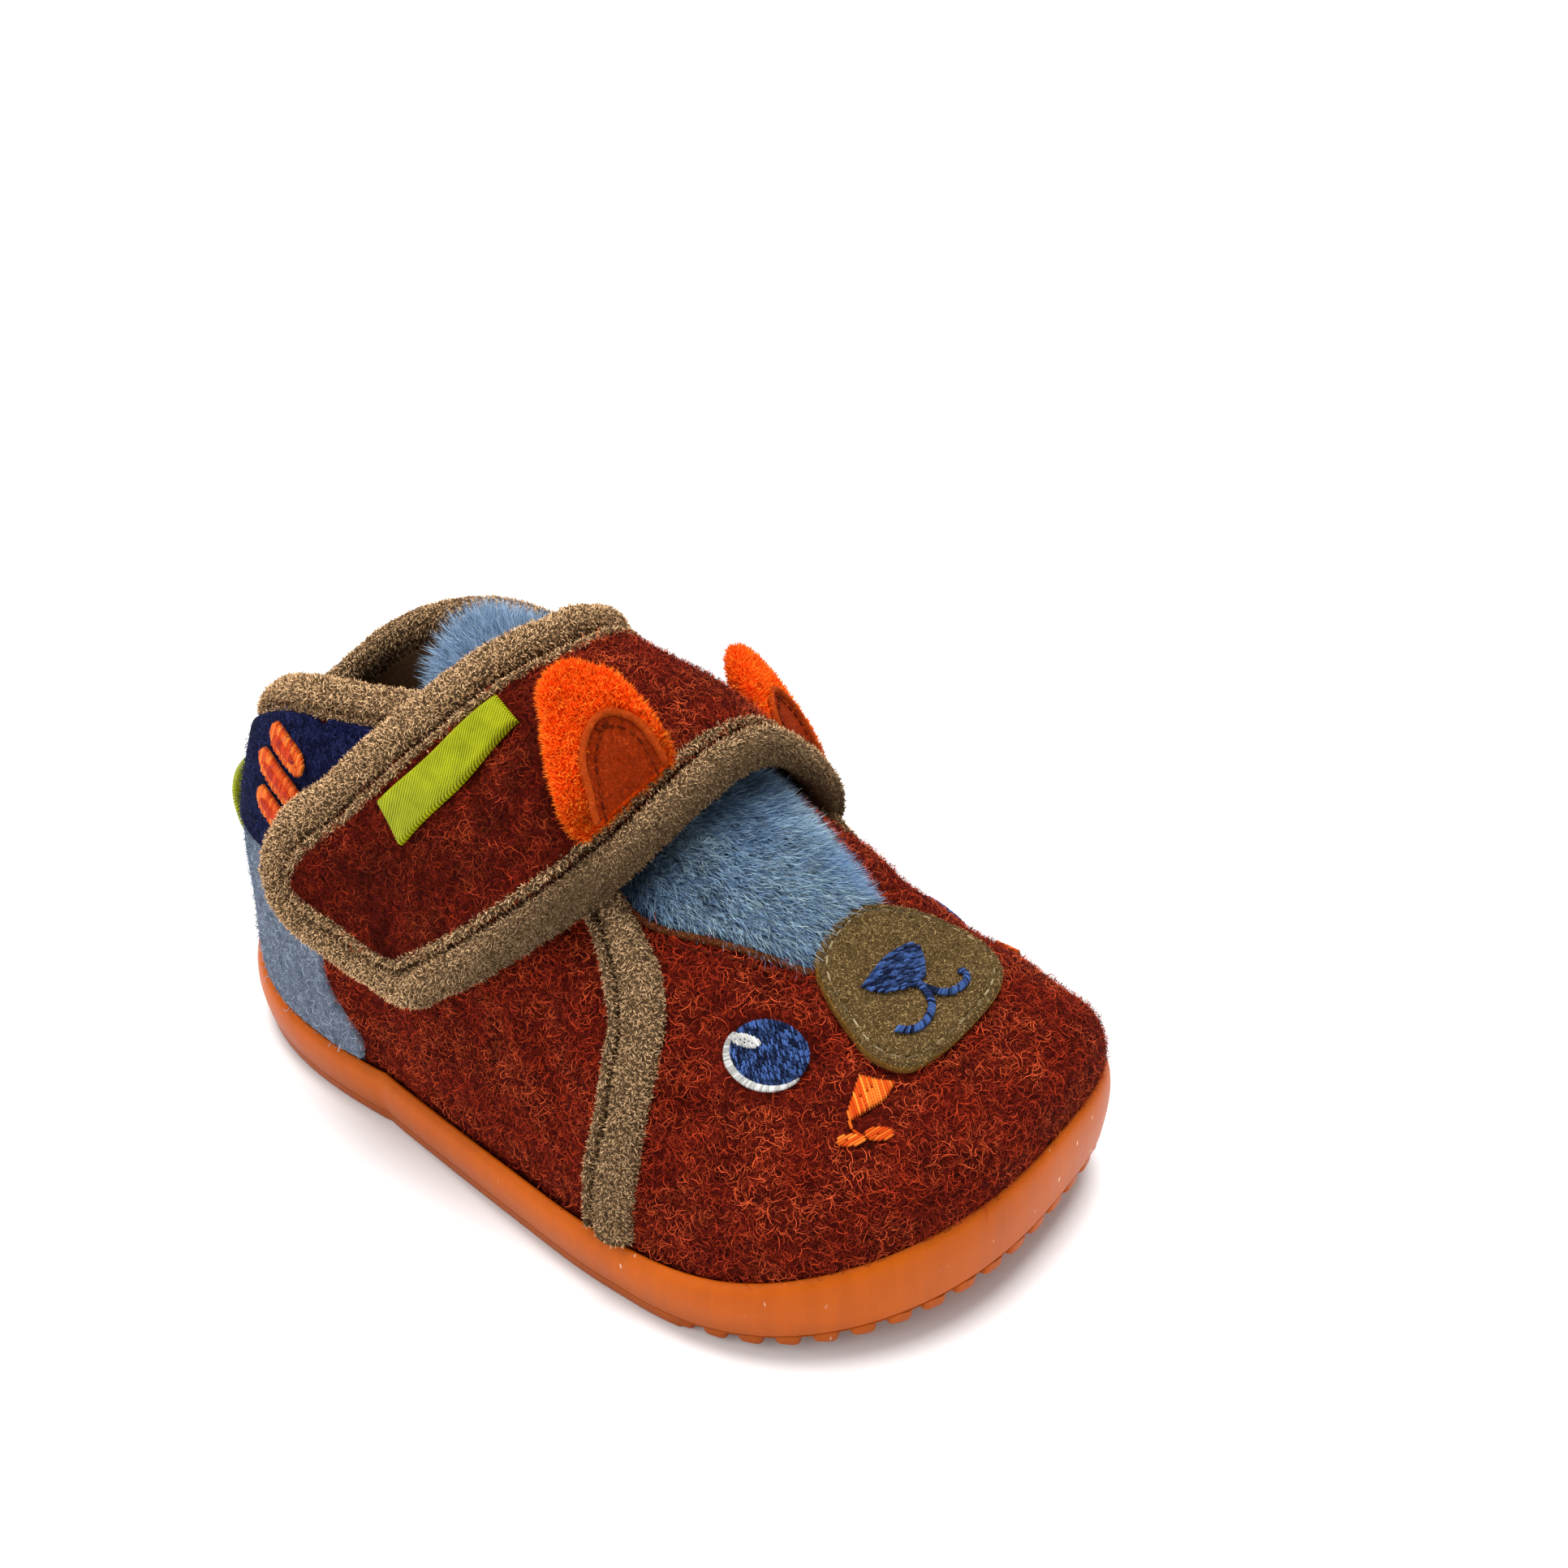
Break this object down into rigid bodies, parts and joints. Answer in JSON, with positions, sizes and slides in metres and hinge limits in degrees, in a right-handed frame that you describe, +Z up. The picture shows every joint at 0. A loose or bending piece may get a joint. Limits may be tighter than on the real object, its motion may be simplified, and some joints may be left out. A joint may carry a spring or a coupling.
{
  "type": "barefoot shoe",
  "caption": "Toddler's right barefoot shoe: felt upper with an animal-face toe, hook-and-loop instep strap with plush ears, plush tongue and a flexible gum rubber cup sole.",
  "frame": {"origin": "on the ground under the middle of the shoe's bounding box", "axes": "+X from the heel to the toe, +Y to the medial side, +Z up"},
  "size_m": [0.1458, 0.0696, 0.0809],
  "materials": {
    "rubber": "semi-gloss gum rubber",
    "lining": "brushed textile lining",
    "felt": "mottled wool felt",
    "plush": "short soft pile",
    "binding": "napped microfibre",
    "muzzle_felt": "dense felt",
    "ear_plush": "short soft pile",
    "ribbon": "satin woven ribbon"
  },
  "bodies": {
    "root": {"outsole": "rubber", "insole": "lining", "upper": "felt", "tongue": "plush", "strap": "felt", "collar_binding": "binding", "strap_binding": "binding", "quarter_binding_lateral": "binding", "quarter_binding_medial": "binding", "muzzle_patch": "muzzle_felt", "ear_lateral": "ear_plush", "ear_medial": "ear_plush", "pull_loop": "ribbon"}
  },
  "joints": []
}
